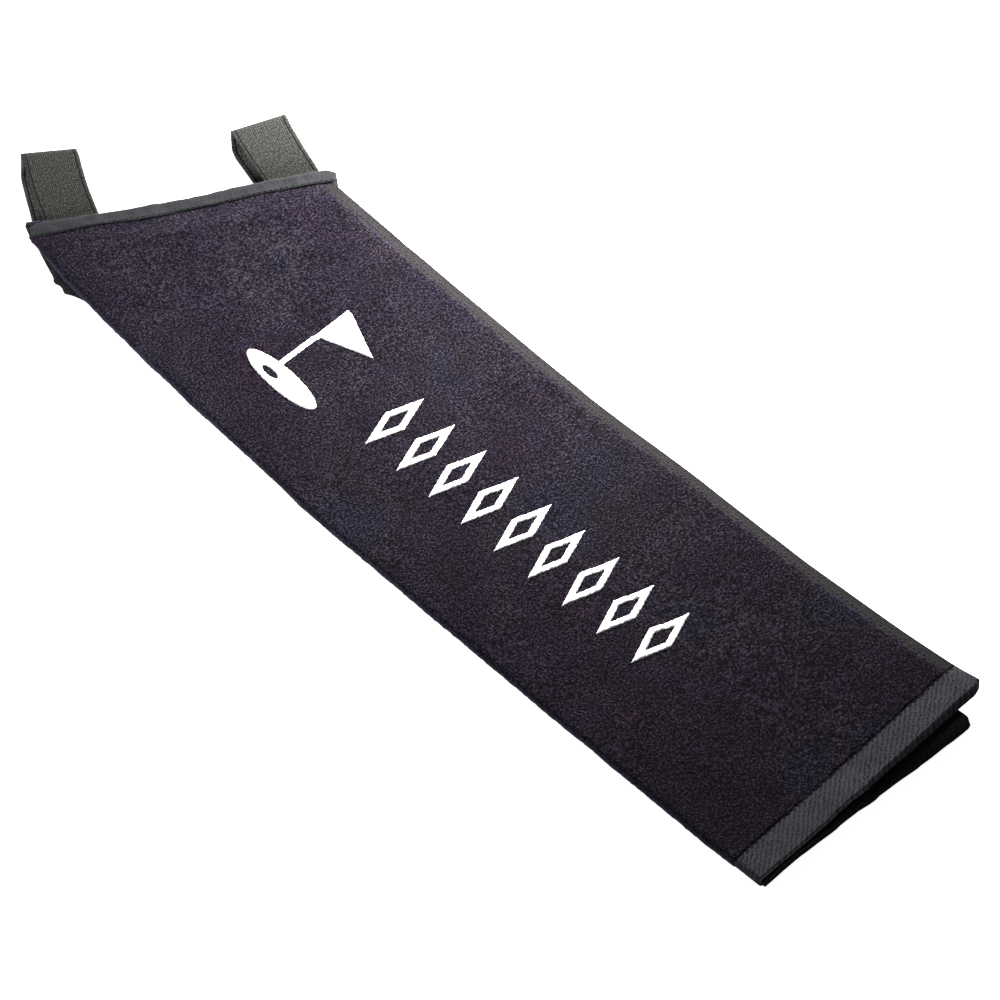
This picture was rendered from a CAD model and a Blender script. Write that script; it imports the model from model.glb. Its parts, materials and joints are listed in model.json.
import json
import math

import bpy
import numpy as np
from mathutils import Matrix, Vector
from mathutils.geometry import delaunay_2d_cdt


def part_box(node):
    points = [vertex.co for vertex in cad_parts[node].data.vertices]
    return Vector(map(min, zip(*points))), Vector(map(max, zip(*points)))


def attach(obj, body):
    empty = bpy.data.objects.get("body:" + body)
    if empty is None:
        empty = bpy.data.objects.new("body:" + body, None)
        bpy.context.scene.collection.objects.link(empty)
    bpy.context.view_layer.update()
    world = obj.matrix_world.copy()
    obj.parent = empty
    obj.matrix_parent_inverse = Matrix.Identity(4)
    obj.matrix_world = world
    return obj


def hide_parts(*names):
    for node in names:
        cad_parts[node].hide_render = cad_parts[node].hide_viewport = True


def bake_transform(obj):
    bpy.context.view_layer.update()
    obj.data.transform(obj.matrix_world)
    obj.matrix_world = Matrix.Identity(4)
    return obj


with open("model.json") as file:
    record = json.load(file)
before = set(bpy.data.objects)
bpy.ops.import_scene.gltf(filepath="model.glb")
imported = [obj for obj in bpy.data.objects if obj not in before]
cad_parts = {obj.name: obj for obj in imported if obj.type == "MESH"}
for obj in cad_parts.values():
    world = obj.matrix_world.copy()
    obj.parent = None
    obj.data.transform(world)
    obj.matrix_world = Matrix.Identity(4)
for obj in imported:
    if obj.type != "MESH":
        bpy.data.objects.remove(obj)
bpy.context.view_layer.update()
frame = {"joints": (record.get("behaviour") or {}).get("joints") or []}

# Lengths are in millimetres until a mesh is made. "Run" is the distance along the towel
# from its hem and "across" the distance right of its middle, as in the CAD model.
MM = 0.001
WIDTH = 165.0
RIGHT_LENGTH = 548.0
MIDDLE_RUN = 290.0
BOW_RADIUS = 5650.0
LAYER = 3.2
GAP = 0.4
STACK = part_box("terry_cloth")[1].z / MM
RIGHT_FOLD_INSET = 8.0
BACK_EDGE_INSET = 4.0
HEM = 18.0
SIDE_HEM = 7.0
FLAT_HEM = 2.3            # thickness of a hem, which has no pile
TAPE_WIDTH = 11.5
TAPE = 1.0
TAPE_FROM, TAPE_TO = 13.7, 204.0      # along the top edge
BINDING_HEIGHT = 7.4                  # over the layers and the elastic's ends
BINDING_LOW, BINDING_RISE = 0.25, 2.35
SEAM_END = 3.0                        # the cloth ends this far in from the slanted top edge
COVERED_STEP = 12.0                   # mesh step across the layers that are out of sight
ELASTIC_WIDTH = 34.0
ELASTIC = 1.3
TIP_RADIUS = 7.5
PIVOT_OUT = 4.0
# Each loop's root along the top edge, its reach and its lean in degrees.
LOOPS = {"left": (37.0, 54.0, 6.0), "right": (174.0, 45.0, 16.0)}
# Middles along the top edge: the lower leg's root and tip, and the upper leg's tip, middle and root.
LEGS = {"left": (33.6, 27.6, 32.6, 35.4, 40.8), "right": (172.3, 158.9, 162.4, 169.6, 178.8)}
AHEAD = {"left": -4.6, "right": 5.8}    # how much further the right side of the tip reaches
TIP_REACH = 1.0                         # the visible tips reach a little past the CAD model's
INNER_MARK = 1000                       # sets the weave marks of a loop's paler inner face apart
EMBLEM_RUN = 436.0
MOTIF_ACROSS = -7.0
LOZENGE_FIRST_RUN = 364.0
LOZENGE_PITCH = 27.3
LOZENGE_HALF = (22.5, 8.5)
LOZENGE_STROKE = 3.8
LOZENGES = 9


# ---------------------------------------------------------------- the towel's plan

def on_towel(run, across, height):
    turn = (run - MIDDLE_RUN) / BOW_RADIUS
    reach = BOW_RADIUS - across
    return np.stack([BOW_RADIUS - reach * np.cos(turn), reach * np.sin(turn), height + 0 * turn], -1)


joints = {joint["name"]: joint for joint in frame["joints"]}
ALONG = np.array(joints["left_loop_flex"]["axis"], float)
OUT = np.array([-ALONG[1], ALONG[0], 0.0])
UP = np.array([0.0, 0.0, 1.0])
pivot = np.array(joints["left_loop_flex"]["pos_m"], float) / MM
to_pivot = LOOPS["left"][0] - PIVOT_OUT * math.tan(math.radians(LOOPS["left"][2]))
CORNER = pivot - ALONG * to_pivot - OUT * PIVOT_OUT
CORNER[2] = 0.0


def beside_top(along, out, height):
    along, out, height = np.broadcast_arrays(along, out, height)
    return CORNER + along[..., None] * ALONG + out[..., None] * OUT + height[..., None] * UP


def to_top(points):
    """Distance along the slanted top edge, and distance in from it."""
    beside = points - CORNER
    return beside @ ALONG, -(beside @ OUT)


def ease(value, start, end):
    share = np.clip((value - start) / (end - start), 0, 1)
    return share * share * (3 - 2 * share)


def ripple(x, y, cell, seed):
    """Smooth noise from -1 to 1 with features about one cell in size."""
    table = np.random.default_rng(seed).uniform(-1, 1, (256, 256))
    x, y = np.broadcast_arrays(x / cell, y / cell)
    i, j = np.floor(x).astype(int), np.floor(y).astype(int)
    fx, fy = x - i, y - j
    fx, fy = fx * fx * (3 - 2 * fx), fy * fy * (3 - 2 * fy)
    i, j = i % 255, j % 255
    low = table[i, j] * (1 - fx) + table[i + 1, j] * fx
    high = table[i, j + 1] * (1 - fx) + table[i + 1, j + 1] * fx
    return low * (1 - fy) + high * fy


# ---------------------------------------------------------------- how the cloth lies

FOLD = (LAYER + GAP) / 2
BACK_EDGE = -(WIDTH / 2 - BACK_EDGE_INSET)
RIGHT_FOLD = WIDTH / 2 - RIGHT_FOLD_INSET - LAYER - GAP / 2
LEFT_FOLD = -(WIDTH / 2 - LAYER - GAP / 2)
ARC = math.pi * FOLD
S1 = RIGHT_FOLD - BACK_EDGE          # the path's first corner: the bottom layer ends
S2 = S1 + ARC                        # the middle layer starts
S3 = S2 + RIGHT_FOLD - LEFT_FOLD     # the middle layer ends
S4 = S3 + ARC                        # the top layer starts
FLAT_WIDTH = S4 + WIDTH / 2 - LEFT_FOLD


def top_path(across):
    """The place along the folded path of a point of the top layer."""
    return S4 + across - LEFT_FOLD


def fold_path(s, h):
    """Across and height of a point h off the middle of the cloth, s along the fold's path."""
    s, h = np.broadcast_arrays(np.asarray(s, float), np.asarray(h, float))
    low, high = LAYER / 2, LAYER / 2 + 2 * FOLD
    first = np.clip((s - S1) / FOLD, 0, math.pi)
    second = np.clip((s - S3) / FOLD, 0, math.pi)
    across = np.where(s < S1, BACK_EDGE + s, RIGHT_FOLD + FOLD * np.sin(first))
    height = low + FOLD * (1 - np.cos(first))
    across = np.where((s >= S2) & (s < S3), RIGHT_FOLD - (s - S2), across)
    bent = LEFT_FOLD - FOLD * np.sin(second)
    across = np.where(s >= S3, bent, across)
    across = np.where(s >= S4, LEFT_FOLD + s - S4, across)
    height = height + FOLD * (1 - np.cos(second))
    theta = np.where(s < S3, first, math.pi - second)
    return across - h * np.sin(theta), height + h * np.cos(theta)


def binding_lift(along):
    """0 where the binding lies low, 1 where a loop's ends hold it up."""
    lift = 0 * along
    for middle, _, _ in LOOPS.values():
        lift = np.maximum(lift, ease(-np.abs(along - middle), -58, -12))
    return lift


def binding_base(along):
    return BINDING_LOW + BINDING_RISE * binding_lift(along)


# How far the left fold lies in from the straight and the right edge out from it, by run.
LEFT_EDGE = ((0, 0.3), (45, 1.1), (118, 1.4), (196, 2.0), (277, 1.9), (362, 1.3), (454, 1.6), (503, 2.1),
             (552, 2.2), (590, 3.4), (631, 7.6), (644, 11.4), (660, 14.0))
RIGHT_EDGE = ((-10, 5.2), (14, 3.6), (52, 2.6), (125, 1.3), (205, 2.2), (286, 1.2), (374, 1.4), (467, 1.6),
              (531, 1.6), (560, 1.4))
NUBS = ((598, 1.8), (587, 1.5))       # run and size of the small bumps of the bottom layer's edge
# Run where a crease meets the middle, its slope, width and depth.
CREASES = ((560, 0.55, 5, 0.6), (402, 0.7, 6, 0.5), (505, -0.5, 8, 0.5), (250, 0.6, 7, 0.5),
           (120, 0.45, 8, 0.4))
HEM_SLOPE = 0.0436                    # how far askew the hem lies
LOWER_REACH = 12.5                    # how far the lower layers reach past the top one at the hem
LOWER_INWARD = 9.0                    # how far their right fold lies in at the hem
NEAR_RIGHT = (71, 83)                 # across, where the right edge droops
EDGE_DROOP = 2.4
CORNER_CURL = 2.2


def along_edge(run, stops):
    return np.interp(run, [place for place, _ in stops], [value for _, value in stops])


def lay(s, run, h):
    """Where a point of the draped cloth lies, in millimetres."""
    across, height = fold_path(s, h)
    run = np.broadcast_to(run, across.shape).astype(float)
    right = np.clip((across + WIDTH / 2) / WIDTH, 0, 1)
    lower = np.clip((STACK - LAYER / 2 - height) / (2 * FOLD), 0, 1)
    bottom = np.clip((3.4 - height) / 1.6, 0, 1)
    near_hem = 1 - ease(run, 0, 330)
    # the hem lies a little askew, and the lower layers reach past it, more to the right
    shift = (-0.6 - HEM_SLOPE * across) * (1 - ease(run, 0, 220)) * (1 - 0.4 * lower)
    shift = shift - LOWER_REACH * np.clip((right - 0.17) / 0.7, 0, 1.05) * lower * near_hem
    shift = shift + (0.6 * ripple(across, 0, 17, 6) + 0.35 * ripple(across, 4, 6, 7)) * (1 - ease(run, 0, 14))
    shift = shift + 2.4 * ease(across, 77, 83) * (1 - ease(run, 0, 12)) * (1 - lower)
    inward = -LOWER_INWARD * lower * ease(right, 0.35, 1) * (1 - ease(run, 0, 150))
    drawn = along_edge(run, LEFT_EDGE) * (1 - ease(right, 0, 0.6)) * (1 - 0.85 * bottom)
    spread = along_edge(run, RIGHT_EDGE) * ease(right, 0.5, 1) * (1 - lower)
    # the bottom layer's free edge peeps out at the top left
    peep = 4.0 * ease(run, 571, 588) - 9.5 * ease(run, 590, 644)
    for place, size in NUBS:
        peep = peep + size * np.exp(-((run - place) / 2.6) ** 2)
    peep = peep * (1 - ease(right, 0.0, 0.3)) * bottom
    sway = 0.55 * ripple(run, 0, 70, 3) + 0.35 * ripple(run, 0, 21, 4)
    side = ease(right, 0.25, 1) * 0.5 * ripple(run, 9, 55, 5)
    sway_in = ease(run, 0, 40)
    wavy = across + inward + drawn + spread - peep + sway * (1 - right) * sway_in + side * sway_in
    # the top layer droops where nothing is under its right edge
    droop = EDGE_DROOP * ease(across, *NEAR_RIGHT) * (1 - lower)
    level = height / STACK
    swell = 0.75 * ripple(run, across, 95, 11) + 0.38 * ripple(run, across, 37, 12)
    crease = 0
    for start, slope, width, depth in CREASES:
        offset = run - start - slope * across + 5 * ripple(across, start, 30, 21)
        crease = crease - depth * np.exp(-(offset / width) ** 2)
    curl = CORNER_CURL * ease(across, 70, 83) * (1 - ease(run, 0, 26)) * (1 - lower)
    height = height - droop + (swell + crease) * level + curl
    height = height - 0.5 * level * (1 - ease(run, 4, 24)) * lower
    plan = on_towel(run + shift, wavy, height)
    # pressed together where the binding holds the layers
    along, setback = to_top(plan)
    free = ease(setback, TAPE_WIDTH - 1, 30)
    base = binding_base(along)
    pressed = base + TAPE + 0.1 + level * (BINDING_HEIGHT - 2 * TAPE - 0.2)
    plan[..., 2] = plan[..., 2] * free + pressed * (1 - free)
    plan[..., 2] = np.maximum(plan[..., 2], 0.02 + 0.6 * np.clip(level, 0, 1))
    return plan


def top_run(across, setback):
    """The run at which a column ends, set back from the slanted top edge."""
    near = to_top(on_towel(500.0 + 0 * across, across, 0.0))[1]
    far = to_top(on_towel(680.0 + 0 * across, across, 0.0))[1]
    return 500.0 + (near - setback) / (near - far) * 180.0


# ---------------------------------------------------------------- mesh making

def new_object(name, points, faces, material, body="towel", slot=None, nodes=(), uv=None, smooth=True):
    mesh = bpy.data.meshes.new(name)
    mesh.from_pydata((np.asarray(points) * MM).tolist(), [], faces)
    mesh.validate()
    if uv is not None:
        layer = mesh.uv_layers.new(name="weave")
        index = np.zeros(len(mesh.loops), int)
        mesh.loops.foreach_get("vertex_index", index)
        layer.data.foreach_set("uv", (np.asarray(uv)[index] * MM).ravel())
    mesh.polygons.foreach_set("use_smooth", [smooth] * len(mesh.polygons))
    mesh.materials.append(material)
    item = bpy.data.objects.new(name, mesh)
    bpy.context.scene.collection.objects.link(item)
    if body:
        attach(item, body)
    if nodes:
        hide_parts(*nodes)
    return item


def spaced(stops):
    """Values through (value, step) stops, each step holding up to the next value."""
    values = [stops[0][0]]
    for (start, step), (end, _) in zip(stops, stops[1:]):
        count = max(1, round((end - start) / step))
        values += [start + (end - start) * (n + 1) / count for n in range(count)]
    return np.array(values)


def thin_out(distance, half):
    """Half thickness near a rounded edge."""
    share = np.clip(distance / half, 0.02, 1)
    return half * np.sqrt(1 - (1 - share) ** 2)


def zip_faces(a, b, at_a, at_b, flip):
    """Triangles joining two rows of vertices whose places run the same way."""
    faces, i, j = [], 0, 0
    while i < len(a) - 1 or j < len(b) - 1:
        if j == len(b) - 1 or (i < len(a) - 1 and at_a[i + 1] <= at_b[j + 1]):
            face = (a[i], a[i + 1], b[j])
            i += 1
        else:
            face = (a[i], b[j + 1], b[j])
            j += 1
        faces.append(face[::-1] if flip else face)
    return faces


def cloth_piece(name, upper, lower, rows, span, half, material, pile=0.0, seed=0, **rest):
    """A closed strip of cloth between path places upper[0] and upper[-1]."""
    ring = np.concatenate([upper, lower[::-1]])
    side = np.concatenate([np.ones(len(upper)), -np.ones(len(lower))])
    flat_across = fold_path(ring, 0 * ring)[0]
    start, end = span(flat_across)
    share = (rows - rows[0]) / (rows[-1] - rows[0])
    run = start[None, :] + share[:, None] * (end - start)[None, :]
    edge_s = np.minimum(ring - ring.min(), ring.max() - ring)[None, :]
    edge_run = np.minimum(run - start[None, :], end[None, :] - run)
    h = side[None, :] * thin_out(np.minimum(edge_s + 0.02, edge_run + 0.02), half)
    s = np.broadcast_to(ring[None, :], run.shape)
    if pile:
        tuft = ripple(run, s, 1.9, seed) + 0.8 * ripple(run, s + 500, 1.25, seed + 1)
        h = h + side[None, :] * pile * tuft * ease(np.minimum(edge_s, edge_run), 0.3, 2.5)
        loose = (ripple(run, 0 * s, 2.3, seed + 4) + 0.6 * ripple(run, 3 + 0 * s, 0.9, seed + 5)) * (s > S4)
        s = s + 0.8 * loose * (1 - ease(np.abs(edge_s), 0, 4))
        ragged = 0.9 * ripple(s, side[None, :], 2.6, seed + 2) + 0.45 * ripple(s, 7, 1.1, seed + 3)
        run = run + ragged * (1 - ease(edge_run, 0, 5))
    points = lay(s, run, h).reshape(-1, 3)
    count, n = len(rows), len(ring)
    index = np.arange(count * n).reshape(count, n)
    a, b = index[:-1], index[1:]
    quads = np.stack([a, np.roll(a, -1, 1), np.roll(b, -1, 1), b], -1).reshape(-1, 4)
    faces = quads.tolist()
    for row, flip in ((0, True), (count - 1, False)):
        front = index[row, :len(upper)].tolist()
        back = index[row, len(upper):][::-1].tolist()
        faces += zip_faces(front, back, upper, lower, flip)
    uv = np.stack([s, run], -1).reshape(-1, 2)
    return new_object(name, points, faces, material, uv=uv, **rest)


# ---------------------------------------------------------------- materials

class Shader:
    """A small helper that builds one Principled material from nodes."""

    def __init__(self, name, roughness, specular=0.2, sheen=0.0, sheen_tint=(1, 1, 1), sheen_roughness=0.5):
        self.material = bpy.data.materials.new(name)
        self.material.use_nodes = True
        self.tree = self.material.node_tree
        self.shader = self.tree.nodes["Principled BSDF"]
        self.set("Roughness", roughness)
        self.set("Specular IOR Level", specular)
        self.set("Sheen Weight", sheen)
        self.set("Sheen Tint", (*sheen_tint, 1))
        self.set("Sheen Roughness", sheen_roughness)
        place = self.tree.nodes.new("ShaderNodeTexCoord")
        self.place = {"object": place.outputs["Object"], "uv": self.uv()}

    def uv(self):
        node = self.tree.nodes.new("ShaderNodeUVMap")
        node.uv_map = "weave"
        return node.outputs["UV"]

    def set(self, name, value):
        self.shader.inputs[name].default_value = value

    def link(self, output, node_input):
        self.tree.links.new(output, node_input)
        return self

    def split(self, where):
        node = self.tree.nodes.new("ShaderNodeSeparateXYZ")
        self.link(self.place[where], node.inputs[0])
        return node.outputs

    def noise(self, where, scale, detail=2.0, rough=0.5, stretch=(1, 1, 1), turn=0.0):
        node = self.tree.nodes.new("ShaderNodeTexNoise")
        node.inputs["Scale"].default_value = scale
        node.inputs["Detail"].default_value = detail
        node.inputs["Roughness"].default_value = rough
        self.link(self.mapped(where, stretch, turn), node.inputs["Vector"])
        return node.outputs["Fac"]

    def mapped(self, where, stretch=(1, 1, 1), turn=0.0):
        node = self.tree.nodes.new("ShaderNodeMapping")
        node.inputs["Rotation"].default_value = (0, 0, turn)
        node.inputs["Scale"].default_value = stretch
        self.link(self.place[where], node.inputs["Vector"])
        return node.outputs["Vector"]

    def bands(self, where, pitch, turn=0.0, distort=0.0):
        node = self.tree.nodes.new("ShaderNodeTexWave")
        node.wave_profile = "SIN"
        node.inputs["Scale"].default_value = math.pi / (10 * pitch * MM)
        node.inputs["Distortion"].default_value = distort
        node.inputs["Detail"].default_value = 1.0
        node.inputs["Detail Scale"].default_value = 2.0
        self.link(self.mapped(where, turn=turn), node.inputs["Vector"])
        return node.outputs["Fac"]

    def math(self, operation, first, second=None, clamp=False):
        node = self.tree.nodes.new("ShaderNodeMath")
        node.operation = operation
        node.use_clamp = clamp
        for number, value in enumerate((first, second)):
            if value is None:
                continue
            if isinstance(value, (int, float)):
                node.inputs[number].default_value = value
            else:
                self.link(value, node.inputs[number])
        return node.outputs[0]

    def ramp(self, fac, stops):
        node = self.tree.nodes.new("ShaderNodeValToRGB")
        elements = node.color_ramp.elements
        while len(elements) < len(stops):
            elements.new(0.5)
        for element, (place, colour) in zip(elements, stops):
            element.position = place
            element.color = (*colour, 1)
        self.link(fac, node.inputs["Fac"])
        return node.outputs["Color"]

    def mix(self, fac, first, second, how="MIX"):
        node = self.tree.nodes.new("ShaderNodeMix")
        node.data_type = "RGBA"
        node.blend_type = how
        for socket, value in ((0, fac), (6, first), (7, second)):
            if isinstance(value, (int, float)):
                node.inputs[socket].default_value = value
            elif isinstance(value, tuple):
                node.inputs[socket].default_value = (*value, 1)
            else:
                self.link(value, node.inputs[socket])
        return node.outputs[2]

    def grey(self, fac, low, high):
        return self.ramp(fac, [(0, (low,) * 3), (1, (high,) * 3)])

    def finish(self, colour, height=None, strength=0.5, distance=0.4):
        self.link(colour, self.shader.inputs["Base Color"])
        if height is not None:
            bump = self.tree.nodes.new("ShaderNodeBump")
            bump.inputs["Strength"].default_value = strength
            bump.inputs["Distance"].default_value = distance * MM
            self.link(height, bump.inputs["Height"])
            self.link(bump.outputs["Normal"], self.shader.inputs["Normal"])
        return self.material


def velour():
    """Dense dark pile with violet, brown and blue patches, and paler fuzz along the left fold."""
    s = Shader("dark_velour", 0.95, 0.04, 0.07, (0.55, 0.62, 1.0), 0.35)
    patch = s.noise("object", 13, 2.0, 0.55)
    base = s.ramp(patch, [(0.30, (0.0100, 0.0058, 0.0096)), (0.44, (0.0084, 0.0060, 0.0108)),
                          (0.55, (0.0100, 0.0074, 0.0106)), (0.68, (0.0080, 0.0074, 0.0140))])
    blotch = s.noise("object", 55, 3.0, 0.6)
    base = s.mix(1.0, base, s.grey(blotch, 0.35, 1.65), "MULTIPLY")
    speck = s.noise("object", 760, 2.0, 0.75)
    tuft_shade = s.ramp(speck, [(0.36, (0.04,) * 3), (0.5, (0.56,) * 3), (0.66, (3.7,) * 3)])
    base = s.mix(1.0, base, tuft_shade, "MULTIPLY")
    path = s.split("uv")["X"]
    fold = s.math("ABSOLUTE", s.math("SUBTRACT", path, (S3 + S4) / 2 * MM))
    fold = s.math("SUBTRACT", 1.0, s.math("DIVIDE", fold, ARC / 2 * MM), clamp=True)
    fuzz = s.math("MULTIPLY", fold, s.math("MULTIPLY", speck, 0.6), clamp=True)
    base = s.mix(fuzz, base, (0.050, 0.052, 0.075))
    below = s.math("LESS_THAN", path, (S3 - 4.0) * MM)
    base = s.mix(s.math("MULTIPLY", below, 0.6), base, (0.002, 0.002, 0.0022))
    tufts = s.noise("object", 1000, 2.0, 0.6)
    return s.finish(base, s.math("ADD", tufts, s.math("MULTIPLY", speck, 1.2)), 0.8, 0.7)


def white_pile():
    s = Shader("white_pile", 0.95, 0.1, 0.15, (1, 1, 1), 0.5)
    fine = s.noise("object", 800, 2.0, 0.6)
    base = s.ramp(fine, [(0.25, (0.74, 0.74, 0.75)), (0.6, (0.93, 0.93, 0.93))])
    return s.finish(base, fine, 0.3, 0.4)


def rib_cloth(name, dark, light, pitch, turn, ribs_share, reverse=1.0):
    """Flat ribbed cloth without pile; reverse darkens everything below the top layer."""
    s = Shader(name, 0.9, 0.08, 0.05, (0.8, 0.8, 0.9), 0.5)
    ribs = s.bands("uv", pitch, turn, 3.5)
    clear = s.noise("uv", 60, 2.0, 0.5)
    ribs = s.math("MULTIPLY", ribs, s.math("MULTIPLY", clear, 2.0 * ribs_share))
    speck = s.math("SUBTRACT", s.math("MULTIPLY", s.noise("uv", 800, 3.0, 0.8), 2.2), 0.6)
    height = s.math("ADD", ribs, speck)
    base = s.ramp(s.math("MULTIPLY", height, 0.75), [(0.20, dark), (0.52 + 0.3 * ribs_share, light)])
    worn = s.noise("uv", 70, 3.0, 0.6)
    base = s.mix(1.0, base, s.grey(worn, 0.55, 1.45), "MULTIPLY")
    if reverse < 1:
        below = s.math("LESS_THAN", s.split("uv")["X"], (S4 - 2.0) * MM)
        base = s.mix(below, base, s.mix(1.0, base, (reverse,) * 3, "MULTIPLY"))
    return s.finish(base, height, 1.0, 0.6)


def tape_cloth():
    s = Shader("binding_tape", 0.85, 0.08, 0.05, (0.8, 0.85, 0.9), 0.5)
    weave = s.math("MULTIPLY", s.bands("uv", 0.9, 0.0, 2.0), s.bands("uv", 1.1, math.pi / 2, 2.0))
    speck = s.noise("uv", 900, 3.0, 0.8)
    height = s.math("ADD", s.math("MULTIPLY", weave, 0.4), speck)
    base = s.ramp(s.math("MULTIPLY", height, 0.8),
                  [(0.26, (0.0030, 0.0032, 0.0036)), (0.66, (0.0290, 0.0295, 0.0320))])
    worn = s.noise("uv", 90, 3.0, 0.6)
    base = s.mix(1.0, base, s.grey(worn, 0.5, 1.5), "MULTIPLY")
    return s.finish(base, height, 0.8, 0.45)


def elastic_cloth():
    """Woven elastic: fine ribs along its length, a darker line beside each edge, a paler inner face."""
    s = Shader("woven_elastic", 0.85, 0.08, 0.04, (0.9, 0.9, 0.85), 0.5)
    ribs = s.bands("uv", 1.3, 0.0, 1.0)
    speck = s.noise("uv", 850, 3.0, 0.85)
    height = s.math("ADD", s.math("MULTIPLY", ribs, 0.12), speck)
    base = s.ramp(height, [(0.38, (0.0016, 0.0016, 0.0013)), (0.55, (0.0190, 0.0186, 0.0170)),
                           (0.72, (0.0660, 0.0650, 0.0590))])
    mark = s.split("uv")
    from_middle = s.math("ABSOLUTE", mark["X"])
    line = s.math("COMPARE", from_middle, (ELASTIC_WIDTH / 2 - 2.5) * MM)
    line.node.inputs[2].default_value = 0.5 * MM
    inner = s.math("GREATER_THAN", mark["Y"], INNER_MARK / 2 * MM)
    base = s.mix(inner, base, s.mix(1.0, base, (3.0, 3.0, 3.0), "MULTIPLY"))
    base = s.mix(s.math("MULTIPLY", line, 0.9), base, (0.0015, 0.0015, 0.0014))
    return s.finish(base, s.math("SUBTRACT", height, line), 0.7, 0.4)


def plain_cloth(name, dark, light, scale, roughness=0.85):
    s = Shader(name, roughness, 0.2, 0.05)
    speck = s.noise("object", scale, 2.0, 0.6)
    return s.finish(s.ramp(speck, [(0.3, dark), (0.7, light)]), speck, 0.4, 0.2)


VELOUR = velour()
PILE = white_pile()
HEM_CLOTH = rib_cloth("hem_rib", (0.0015, 0.0014, 0.0016), (0.0520, 0.0480, 0.0570),
                      2.4, math.radians(52), 0.46, 0.12)
SIDE_CLOTH = rib_cloth("side_hem_twill", (0.0002, 0.0002, 0.0002), (0.0190, 0.0160, 0.0172),
                       1.2, math.radians(35), 0.12)
BACK_CLOTH = rib_cloth("back_hem_twill", (0.0010, 0.0008, 0.0010), (0.0230, 0.0200, 0.0240),
                       1.2, math.radians(35), 0.12)
TAPE_CLOTH = tape_cloth()
ELASTIC_CLOTH = elastic_cloth()
THREAD = plain_cloth("black_thread", (0.004, 0.004, 0.005), (0.016, 0.016, 0.018), 1500)

# ---------------------------------------------------------------- terry cloth and hems

TERRY_START, TERRY_END = SIDE_HEM, FLAT_WIDTH - SIDE_HEM
terry_upper = spaced([(TERRY_START, 0.8), (TERRY_START + 1.6, COVERED_STEP), (S1, 0.9), (S2, COVERED_STEP),
                      (S3, 0.55), (S4, 1.5), (TERRY_END - 1.5, 0.5), (TERRY_END, 1)])
terry_lower = spaced([(TERRY_START, 0.8), (TERRY_START + 1.6, 8.0), (S1 - 8, 2.0), (S1, 0.6), (S2, 2.5),
                      (S2 + 10, COVERED_STEP), (S3, 1.4), (S4, COVERED_STEP), (TERRY_END - 1.5, 0.8),
                      (TERRY_END, 1)])
terry_rows = spaced([(0, 0.45), (1.8, 1.42), (612, 1)])


def terry_span(across):
    return HEM - 0.4 + 0 * across, top_run(across, SEAM_END)


terry = cloth_piece("velour_cloth", terry_upper, terry_lower, terry_rows, terry_span, LAYER / 2, VELOUR,
                    pile=0.16, seed=30, slot="dark_velour", nodes=["terry_cloth"])

hem_upper = spaced([(0, 0.3), (1.5, 4.0), (S1, 0.9), (S2, 4.0), (S3, 0.7), (S4, 2.0), (FLAT_WIDTH - 1.5, 0.3),
                    (FLAT_WIDTH, 1)])
hem_rows = spaced([(0, 0.25), (1.5, 1.0), (HEM + 0.6, 1)])


def hem_span(across):
    return 0 * across, HEM + 0.6 + 0 * across


hem = cloth_piece("hem_band", hem_upper, hem_upper, hem_rows, hem_span, FLAT_HEM / 2, HEM_CLOTH,
                  slot="flat_hem", nodes=["bottom_hem"])


def side_span(across):
    return HEM + 0.2 + 0 * across, top_run(across, SEAM_END)


side_rows = spaced([(0, 0.5), (1.5, 2.0), (612, 1)])
for name, start, end, node, cloth in (
        ("front_selvedge", TERRY_END - 2.0, FLAT_WIDTH, "front_side_hem", SIDE_CLOTH),
        ("back_selvedge", 0.0, TERRY_START + 0.5, "back_side_hem", BACK_CLOTH)):
    places = spaced([(start, 0.3), (start + 1.2, 0.8), (end - 1.2, 0.3), (end, 1)])
    cloth_piece(name, places, places, side_rows, side_span, FLAT_HEM / 2, cloth,
                                 slot="side_hem", nodes=[node])


# ---------------------------------------------------------------- binding

def tape_section(base, lean):
    """The folded tape's outline in the plane out of the top edge: outside, then inside."""
    nose = BINDING_HEIGHT / 2
    inner = nose - TAPE
    angles = np.radians(np.linspace(-90, 90, 17))
    flat = np.linspace(-TAPE_WIDTH + lean, -nose, 6)[:-1]
    tip_low = np.array([[-TAPE_WIDTH + lean - 0.25, 0.5 * TAPE]])
    outside = np.concatenate([np.stack([flat, 0 * flat], -1),
                              np.stack([-nose + nose * np.cos(angles), nose + nose * np.sin(angles)], -1),
                              np.stack([flat[::-1], 0 * flat + BINDING_HEIGHT], -1)])
    tip_high = np.array([[-TAPE_WIDTH + lean - 0.25, BINDING_HEIGHT - 0.5 * TAPE]])
    inside = np.concatenate([np.stack([flat, 0 * flat + BINDING_HEIGHT - TAPE], -1),
                             np.stack([-nose + inner * np.cos(-angles), nose + inner * np.sin(-angles)], -1),
                             np.stack([flat[::-1], 0 * flat + TAPE], -1)])
    section = np.concatenate([outside, tip_high, inside, tip_low])
    section[:, 1] += base
    return section


def ring_mesh(rings):
    """Faces of a tube through rings of equal length, with its two ends left open."""
    count, n = rings.shape[:2]
    index = np.arange(count * n).reshape(count, n)
    a, b = index[:-1], index[1:]
    return np.stack([a, b, np.roll(b, -1, 1), np.roll(a, -1, 1)], -1).reshape(-1, 4).tolist()


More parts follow.
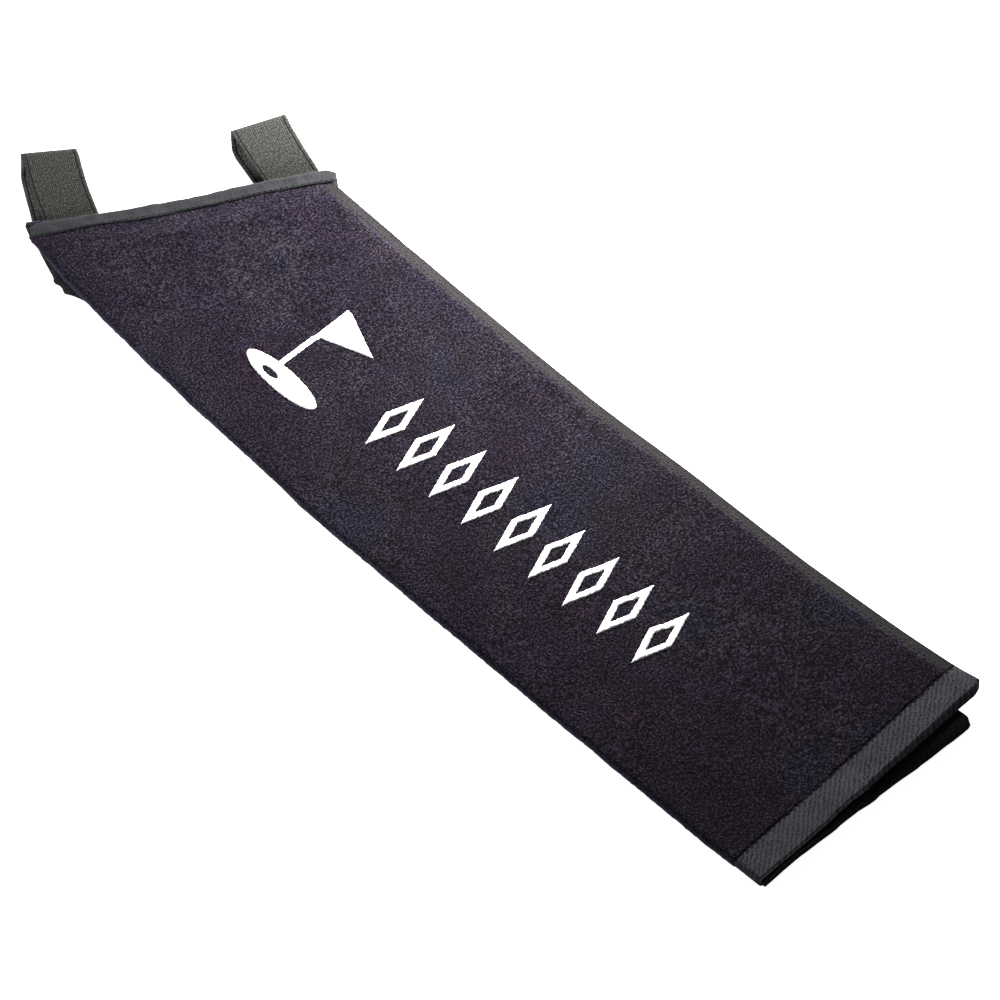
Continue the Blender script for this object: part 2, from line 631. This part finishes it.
places = spaced([(TAPE_FROM, 0.35), (TAPE_FROM + 1.4, 1.1), (TAPE_TO - 1.4, 0.35), (TAPE_TO, 1)])
rings, marks = [], []
for along in places:
    lean = 0.55 * float(ripple(np.array(along), 3, 16, 41)) + 0.35
    section = tape_section(float(binding_base(np.array(along))), lean)
    bulge = 0.6 * float(ripple(np.array(along), 1, 23, 42)) + 0.3 * float(ripple(np.array(along), 5, 7, 43))
    # the folded edge is cut back towards both ends of the tape
    bulge -= 2.6 * float(1 - ease(along, TAPE_FROM, TAPE_FROM + 5))
    bulge -= 2.2 * float(ease(along, TAPE_TO - 6, TAPE_TO))
    section[:, 0] += bulge * ease(section[:, 0], -TAPE_WIDTH, -2)
    section[:, 1] += 0.35 * ripple(np.array(along), section[:, 0] * 1.5, 5, 44)
    section[:, 1] = np.maximum(section[:, 1], 0.05)
    end = min(along - places[0], places[-1] - along)
    pinch = 0.90 + 0.10 * min(1.0, end / 1.2)
    middle = section.mean(0)
    section = middle + (section - middle) * pinch
    slant = 0.25 * float(ripple(np.array(along), 8, 11, 45)) * (section[:, 1] - middle[1]) * 0.2
    at_left = float(1 - ease(along, TAPE_FROM, TAPE_FROM + 2))
    jagged = 0.9 * ripple(section[:, 0], section[:, 1], 1.3, 46) - 0.18 * section[:, 0] - 0.8
    slant = slant + at_left * jagged
    rings.append(beside_top(along + slant, section[:, 0], section[:, 1]))
    length = np.concatenate([[0], np.cumsum(np.linalg.norm(np.diff(section, axis=0), axis=1))])
    marks.append(np.stack([length, 0 * length + along], -1))
rings, marks = np.array(rings), np.array(marks)
count, n = rings.shape[:2]
half_ring = n // 2
faces = ring_mesh(rings)
for row, flip in ((0, False), (count - 1, True)):
    outer = [row * n + k for k in range(half_ring)]
    inner = [row * n + (n - 2 - k) % n for k in range(half_ring)]
    for k in range(half_ring - 1):
        face = (outer[k], outer[k + 1], inner[k + 1], inner[k])
        if len(set(face)) == 4:
            faces.append(face if flip else face[::-1])
binding = new_object("binding_tape", rings.reshape(-1, 3), faces, TAPE_CLOTH, slot="binding_tape",
                     nodes=["top_binding"], uv=marks.reshape(-1, 2))


# ---------------------------------------------------------------- elastic loops

def loop_line(reach):
    """The elastic's middle line out of the top edge: lower end, tip, upper end."""
    tip = TIP_RADIUS - ELASTIC / 2
    centre = reach - TIP_RADIUS
    low = ELASTIC / 2
    points = [(x, low) for x in np.linspace(-TAPE_WIDTH + 0.4, centre - 6, 26)]
    points += [(centre - 3, low + 0.02), (centre, low + 0.1)]
    for angle in np.radians(np.linspace(-78, 90, 20)):
        points.append((centre + tip * math.cos(angle), TIP_RADIUS + tip * math.sin(angle)))
    top, root = 2 * TIP_RADIUS - low, 3 * low
    for share in np.linspace(0, 1, 26)[1:]:
        x = centre + (PIVOT_OUT - centre) * share
        height = root + (top - root) * (1 - share ** 2.0) ** 0.92
        points.append((x, height))
    points += [(x, root) for x in np.linspace(PIVOT_OUT, -TAPE_WIDTH + 0.4, 9)[1:]]
    return np.array(points)


def smoothed(points, rounds):
    for _ in range(rounds):
        points[1:-1] = points[1:-1] * 0.5 + (points[:-2] + points[2:]) * 0.25
    return points


def elastic_loop(side):
    along, reach = LOOPS[side][:2]
    ahead = AHEAD[side]
    reach += TIP_REACH
    line = loop_line(reach)
    steps = np.concatenate([[0], np.cumsum(np.linalg.norm(np.diff(line, axis=0), axis=1))])
    even = np.linspace(0, steps[-1], int(steps[-1] / 1.2))
    line = np.stack([np.interp(even, steps, line[:, k]) for k in range(2)], -1)
    line = smoothed(line, 3)
    tangent = np.gradient(line, axis=0)
    tangent /= np.linalg.norm(tangent, axis=1)[:, None]
    normal = np.stack([-tangent[:, 1], tangent[:, 0]], -1)
    tip = line[:, 0].argmax()
    bend = math.pi * TIP_RADIUS / 2
    upper_root = even[-1] - TAPE_WIDTH
    stops = (TAPE_WIDTH, even[tip] - bend, even[tip] + bend, (even[tip] + bend + upper_root) / 2, upper_root)
    middles = smoothed(np.interp(even, stops, LEGS[side]), 40)
    half_width = ELASTIC_WIDTH / 2
    widths = spaced([(-half_width, 0.3), (-half_width + 0.6, 1.15), (half_width - 0.6, 0.3), (half_width, 1)])
    rings, marks = [], []
    for place, (x, z), (nx, nz), middle in zip(even, line, normal, middles):
        ring = []
        mark = []
        waist = 1 + 0.022 * math.sin(math.pi * place / even[-1])
        for sign in (1, -1):
            for width in widths[::sign]:
                thick = thin_out(np.array(half_width - abs(width) + 0.05), ELASTIC / 2)
                rib = 0.05 * math.cos(2 * math.pi * width / 2.1)
                edge = 0.10 * float(ripple(np.array(place), sign * (abs(width) > 16), 4, 51))
                h = sign * (float(thick) + rib * (abs(width) < 14.5))
                dent = -0.16 * (abs(abs(width) - (half_width - 2.3)) < 0.5)
                h += sign * dent
                reached = x + nx * h + ahead * width / ELASTIC_WIDTH * max(x, 0) / reach
                ring.append(beside_top(middle + (width + edge) * waist, reached, max(z + nz * h, 0.03)))
                mark.append((width, place + INNER_MARK * (sign > 0)))
        rings.append(np.array(ring).reshape(-1, 3))
        marks.append(mark)
    rings, marks = np.array(rings), np.array(marks)
    count, n = rings.shape[:2]
    faces = ring_mesh(rings)
    half = len(widths)
    for row, flip in ((0, False), (count - 1, True)):
        for k in range(half - 1):
            face = (row * n + k, row * n + k + 1, row * n + n - 2 - k, row * n + n - 1 - k)
            faces.append(face if flip else face[::-1])
    item = new_object(side + "_elastic", rings.reshape(-1, 3), faces, ELASTIC_CLOTH, body=None,
                      slot="elastic", nodes=[side + "_elastic_loop", side + "_loop_ends"],
                      uv=marks.reshape(-1, 2))
    tuple(beside_top(along, 0.6, ELASTIC) * MM)
    tuple(beside_top(along, 8.0, ELASTIC) * MM)
    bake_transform(item)
    return item, float(even[-1])


elastics = {side: elastic_loop(side) for side in LOOPS}


# ---------------------------------------------------------------- stitches

STITCH_PITCH = 3.4
STITCH_HALF = 1.25
STITCH_REACH = 1.2                    # half the distance between a stitch's two places on the cloth
STITCH_INSET = 1.2                    # in from the folded edge of the tape or side hem
# Place along half a stitch, radius and height of each ring of a thread.
STITCH_RINGS = ((-1, 0.10, -0.22), (-0.72, 0.26, 0.02), (0, 0.31, 0.10), (0.72, 0.26, 0.02), (1, 0.10, -0.22))


def thread_template():
    rings = []
    for x, radius, dip in STITCH_RINGS:
        ring = [(x * STITCH_HALF, radius * math.cos(a), dip + radius * math.sin(a))
                for a in np.radians(np.arange(0, 360, 60))]
        rings.append(ring)
    return np.array(rings)


TEMPLATE = thread_template()


def stitches(name, ends, node, seed):
    """Short threads, each from one point on the cloth to the next, with an up direction."""
    rng = np.random.default_rng(seed)
    points, faces = [], []
    count, n = TEMPLATE.shape[:2]
    for start, end, up in ends:
        middle, direction = (start + end) / 2, end - start
        direction = direction / np.linalg.norm(direction)
        side = np.cross(up, direction)
        turn = rng.uniform(-0.07, 0.07)
        direction, side = (direction * math.cos(turn) + side * math.sin(turn),
                           side * math.cos(turn) - direction * math.sin(turn))
        size = rng.uniform(0.9, 1.08)
        shape = TEMPLATE.reshape(-1, 3) * size
        base = len(points)
        points += list(middle + shape[:, :1] * direction + shape[:, 1:2] * side + shape[:, 2:] * up)
        for ring in range(count - 1):
            for k in range(n):
                a, b = base + ring * n + k, base + ring * n + (k + 1) % n
                faces.append((a, b, b + n, a + n))
        faces.append([base + k for k in range(n)][::-1])
        faces.append([base + (count - 1) * n + k for k in range(n)])
    return new_object(name, points, faces, THREAD, slot="thread", nodes=[node])


def stations(first, last):
    number = int((last - first) / STITCH_PITCH)
    return [first + (k + 0.5) * (last - first) / number for k in range(number)]


def on_cloth(run, across, h):
    return lay(np.array([top_path(across)]), np.array([run]), np.array([h]))[0]


def binding_ends():
    ends = []
    for along in stations(TAPE_FROM + 1.0, TAPE_TO - 1.0):
        ends_along = np.array([along - STITCH_REACH, along + STITCH_REACH])
        base = binding_base(ends_along)
        for level, up in ((BINDING_HEIGHT + 0.05, UP), (-0.02, -UP)):
            if up is not UP and binding_lift(np.array(along)) > 0.02:
                continue
            points = [beside_top(place, STITCH_INSET - TAPE_WIDTH, low + level)
                      for place, low in zip(ends_along, base)]
            ends.append((points[0].reshape(3), points[1].reshape(3), up))
    return ends


def hem_ends():
    half = FLAT_HEM / 2
    return [(on_cloth(HEM - 0.3, across - STITCH_REACH, half),
             on_cloth(HEM - 0.3, across + STITCH_REACH, half), UP)
            for across in stations(-WIDTH / 2 + 2, WIDTH / 2 - 2)]


def side_ends():
    half = FLAT_HEM / 2
    across = WIDTH / 2 - SIDE_HEM + STITCH_INSET
    return [(on_cloth(run - STITCH_REACH, across, half), on_cloth(run + STITCH_REACH, across, half), UP)
            for run in stations(HEM + 1, RIGHT_LENGTH - 13)]


binding_thread = stitches("binding_stitches", binding_ends(), "binding_stitching", 61)
hem_thread = stitches("hem_stitches", hem_ends(), "hem_stitching", 62)
side_thread = stitches("side_hem_stitches", side_ends(), "side_hem_stitching", 63)


# ---------------------------------------------------------------- white motif

PILE_RISE = 0.42                      # over the middle of the dark pile's surface
PILE_ROOT = 0.6                       # below it


def inside(points, polygon):
    x, y = points[:, 0], points[:, 1]
    found = np.zeros(len(points), bool)
    for (x0, y0), (x1, y1) in zip(polygon, np.roll(polygon, -1, 0)):
        crosses = ((y0 > y) != (y1 > y)) & (x < (x1 - x0) * (y - y0) / (y1 - y0 + 1e-12) + x0)
        found ^= crosses
    return found


def ragged(polygon, rng, step=0.85, jag=0.24):
    """The outline with points every step, each moved a little, as cut loops leave it."""
    polygon = np.asarray(polygon, float)
    points = []
    for start, end in zip(polygon, np.roll(polygon, -1, 0)):
        length = np.linalg.norm(end - start)
        count = max(1, round(length / step))
        across = np.array([start[1] - end[1], end[0] - start[0]]) / max(length, 1e-9)
        for k in range(count):
            points.append(start + (end - start) * k / count + across * rng.uniform(-jag, jag))
    return np.array(points)


def pile_area(outer, holes, rng, cell=1.15):
    """Triangles filling an outline, and the outline loops, in run and across."""
    loops = [ragged(outer, rng)] + [ragged(hole, rng) for hole in holes]
    low, high = loops[0].min(0), loops[0].max(0)
    columns, lines = (np.arange(low[k], high[k], cell) for k in range(2))
    grid = np.stack(np.meshgrid(columns, lines), -1).reshape(-1, 2)
    grid = grid + rng.uniform(-0.3, 0.3, grid.shape)
    rim = np.concatenate(loops)
    keep = inside(grid, loops[0])
    for hole in loops[1:]:
        keep &= ~inside(grid, hole)
    grid = grid[keep]
    gap = np.min(np.linalg.norm(grid[:, None] - rim[None], axis=2), axis=1)
    grid = grid[gap > 0.55]
    points = np.concatenate([rim, grid])
    edges, start = [], 0
    for loop in loops:
        edges += [(start + k, start + (k + 1) % len(loop)) for k in range(len(loop))]
        start += len(loop)
    verts, _, tris, _, _, _ = delaunay_2d_cdt([Vector(p) for p in points], edges, [], 0, 1e-6)
    verts = np.array([tuple(v) for v in verts])
    tris = np.array([t for t in tris if len(t) == 3])
    middle = verts[tris].mean(1)
    keep = inside(middle, loops[0])
    for hole in loops[1:]:
        keep &= ~inside(middle, hole)
    return verts, tris[keep]


def pile_piece(name, shapes, node, seed):
    rng = np.random.default_rng(seed)
    points, faces = [], []
    for outer, holes in shapes:
        verts, tris = pile_area(outer, holes, rng)
        used = np.unique(tris)
        new = -np.ones(len(verts), int)
        new[used] = np.arange(len(used))
        verts, tris = verts[used], new[tris]
        run, across = verts[:, 0], verts[:, 1]
        directed = {(int(t[k]), int(t[(k + 1) % 3])) for t in tris for k in range(3)}
        rim = [(a, b) for a, b in directed if (b, a) not in directed]
        on_rim = np.zeros(len(verts), bool)
        on_rim[[a for a, _ in rim]] = True
        height = LAYER / 2 + PILE_RISE + rng.uniform(-0.09, 0.09, len(verts)) - 0.12 * on_rim
        s = top_path(across)
        high = lay(s, run, height)
        low = lay(s, run, 0 * height + LAYER / 2 - PILE_ROOT)
        base, n = len(points), len(verts)
        points += list(high) + list(low)
        x0, x1, x2 = (high[tris[:, k]] for k in range(3))
        upward = np.cross(x1 - x0, x2 - x0)[:, 2] > 0
        for t, up in zip(tris, upward):
            t = t if up else t[::-1]
            faces.append(tuple(int(v) + base for v in t))
            faces.append(tuple(int(v) + base + n for v in t[::-1]))
        directed = {(int(t[k]), int(t[(k + 1) % 3])) for t in np.where(upward[:, None], tris, tris[:, ::-1])
                    for k in range(3)}
        for a, b in directed:
            if (b, a) not in directed:
                faces.append((base + b, base + a, base + n + a, base + n + b))
    return new_object(name, points, faces, PILE, slot="white_pile", nodes=[node])


def ellipse(run, across, long_half, short_half, count=64):
    angles = np.linspace(0, 2 * np.pi, count, endpoint=False)
    return np.stack([run + long_half * np.cos(angles), across + short_half * np.sin(angles)], -1)


def motif(points, run):
    return np.array(points, float) + [run, MOTIF_ACROSS]


flag = motif([(11, -20), (11, 33), (7.4, 33), (-27, 21), (7.4, 9), (7.4, -20)], EMBLEM_RUN)
green = ellipse(EMBLEM_RUN, MOTIF_ACROSS - 27, 31, 7.5)
cup = ellipse(EMBLEM_RUN + 9, MOTIF_ACROSS - 28.5, 7, 2.4, 32)
emblem = pile_piece("emblem_pile", [(flag, []), (green, [cup])], "woven_emblem", 71)

long_half, short_half = LOZENGE_HALF
inner = 1 - LOZENGE_STROKE / (long_half * short_half / math.hypot(long_half, short_half))
shapes = []
for number in range(LOZENGES):
    run = LOZENGE_FIRST_RUN - number * LOZENGE_PITCH
    ends = np.array([(0, long_half), (short_half, 0), (0, -long_half), (-short_half, 0)], float)
    shapes.append((motif(ends, run), [motif(ends * inner, run)]))
lozenges = pile_piece("lozenge_pile", shapes, "woven_lozenges", 72)

# ---------------------------------------------------------------- what each sheet is

# ---------------------------------------------------------------- camera, floor and light

camera_data = bpy.data.cameras.new("camera")
camera_data.lens = 131.3
camera_data.sensor_width = 36.0
camera_data.clip_end = 50
camera = bpy.data.objects.new("camera", camera_data)
bpy.context.scene.collection.objects.link(camera)
CAMERA_PLACE = Vector((-0.6563, -1.0315, 1.6639))
CAMERA_RIGHT = Vector((0.7336, -0.6685, -0.1222))
CAMERA_UP = Vector((0.6000, 0.5527, 0.5783))
CAMERA_BACK = Vector((-0.3191, -0.4975, 0.8066))
turn = Matrix((CAMERA_RIGHT, CAMERA_UP, CAMERA_BACK)).transposed().to_4x4()
camera.matrix_world = Matrix.Translation(CAMERA_PLACE) @ turn
bpy.context.scene.camera = camera

floor_mesh = bpy.data.meshes.new("floor")
FLOOR_HALF = 6.0
FLOOR_HEIGHT = -0.0003
corners = [(x * FLOOR_HALF, y * FLOOR_HALF, FLOOR_HEIGHT) for x, y in ((-1, -1), (1, -1), (1, 1), (-1, 1))]
floor_mesh.from_pydata(corners, [], [(0, 1, 2, 3)])
floor_material = bpy.data.materials.new("pale_floor")
floor_material.use_nodes = True
floor_shader = floor_material.node_tree.nodes["Principled BSDF"]
floor_shader.inputs["Base Color"].default_value = (0.86, 0.86, 0.86, 1)
floor_shader.inputs["Roughness"].default_value = 0.9
floor_shader.inputs["Emission Color"].default_value = (1, 1, 1, 1)
floor_shader.inputs["Emission Strength"].default_value = 0.92
floor_shader.inputs["Specular IOR Level"].default_value = 0.1
floor_mesh.materials.append(floor_material)
floor = bpy.data.objects.new("floor", floor_mesh)
bpy.context.scene.collection.objects.link(floor)


def area_light(name, place, target, size, power, colour):
    data = bpy.data.lights.new(name, "AREA")
    data.shape = "SQUARE"
    data.size = size
    data.energy = power
    data.color = colour
    lamp = bpy.data.objects.new(name, data)
    bpy.context.scene.collection.objects.link(lamp)
    lamp.location = place
    lamp.rotation_euler = (Vector(target) - Vector(place)).to_track_quat("-Z", "Y").to_euler()


area_light("key", (0.36, 0.19, 0.19), (0.03, 0.10, 0.0), 0.20, 15, (1.0, 0.99, 0.98))
area_light("fill", (-0.48, 0.30, 0.13), (-0.06, 0.30, 0.0), 0.25, 3.2, (0.88, 0.92, 1.0))

world = bpy.data.worlds.new("studio")
world.use_nodes = True
world.node_tree.nodes["Background"].inputs["Color"].default_value = (1, 1, 1, 1)
world.node_tree.nodes["Background"].inputs["Strength"].default_value = 0.12
bpy.context.scene.world = world
bpy.context.scene.view_settings.view_transform = "Standard"
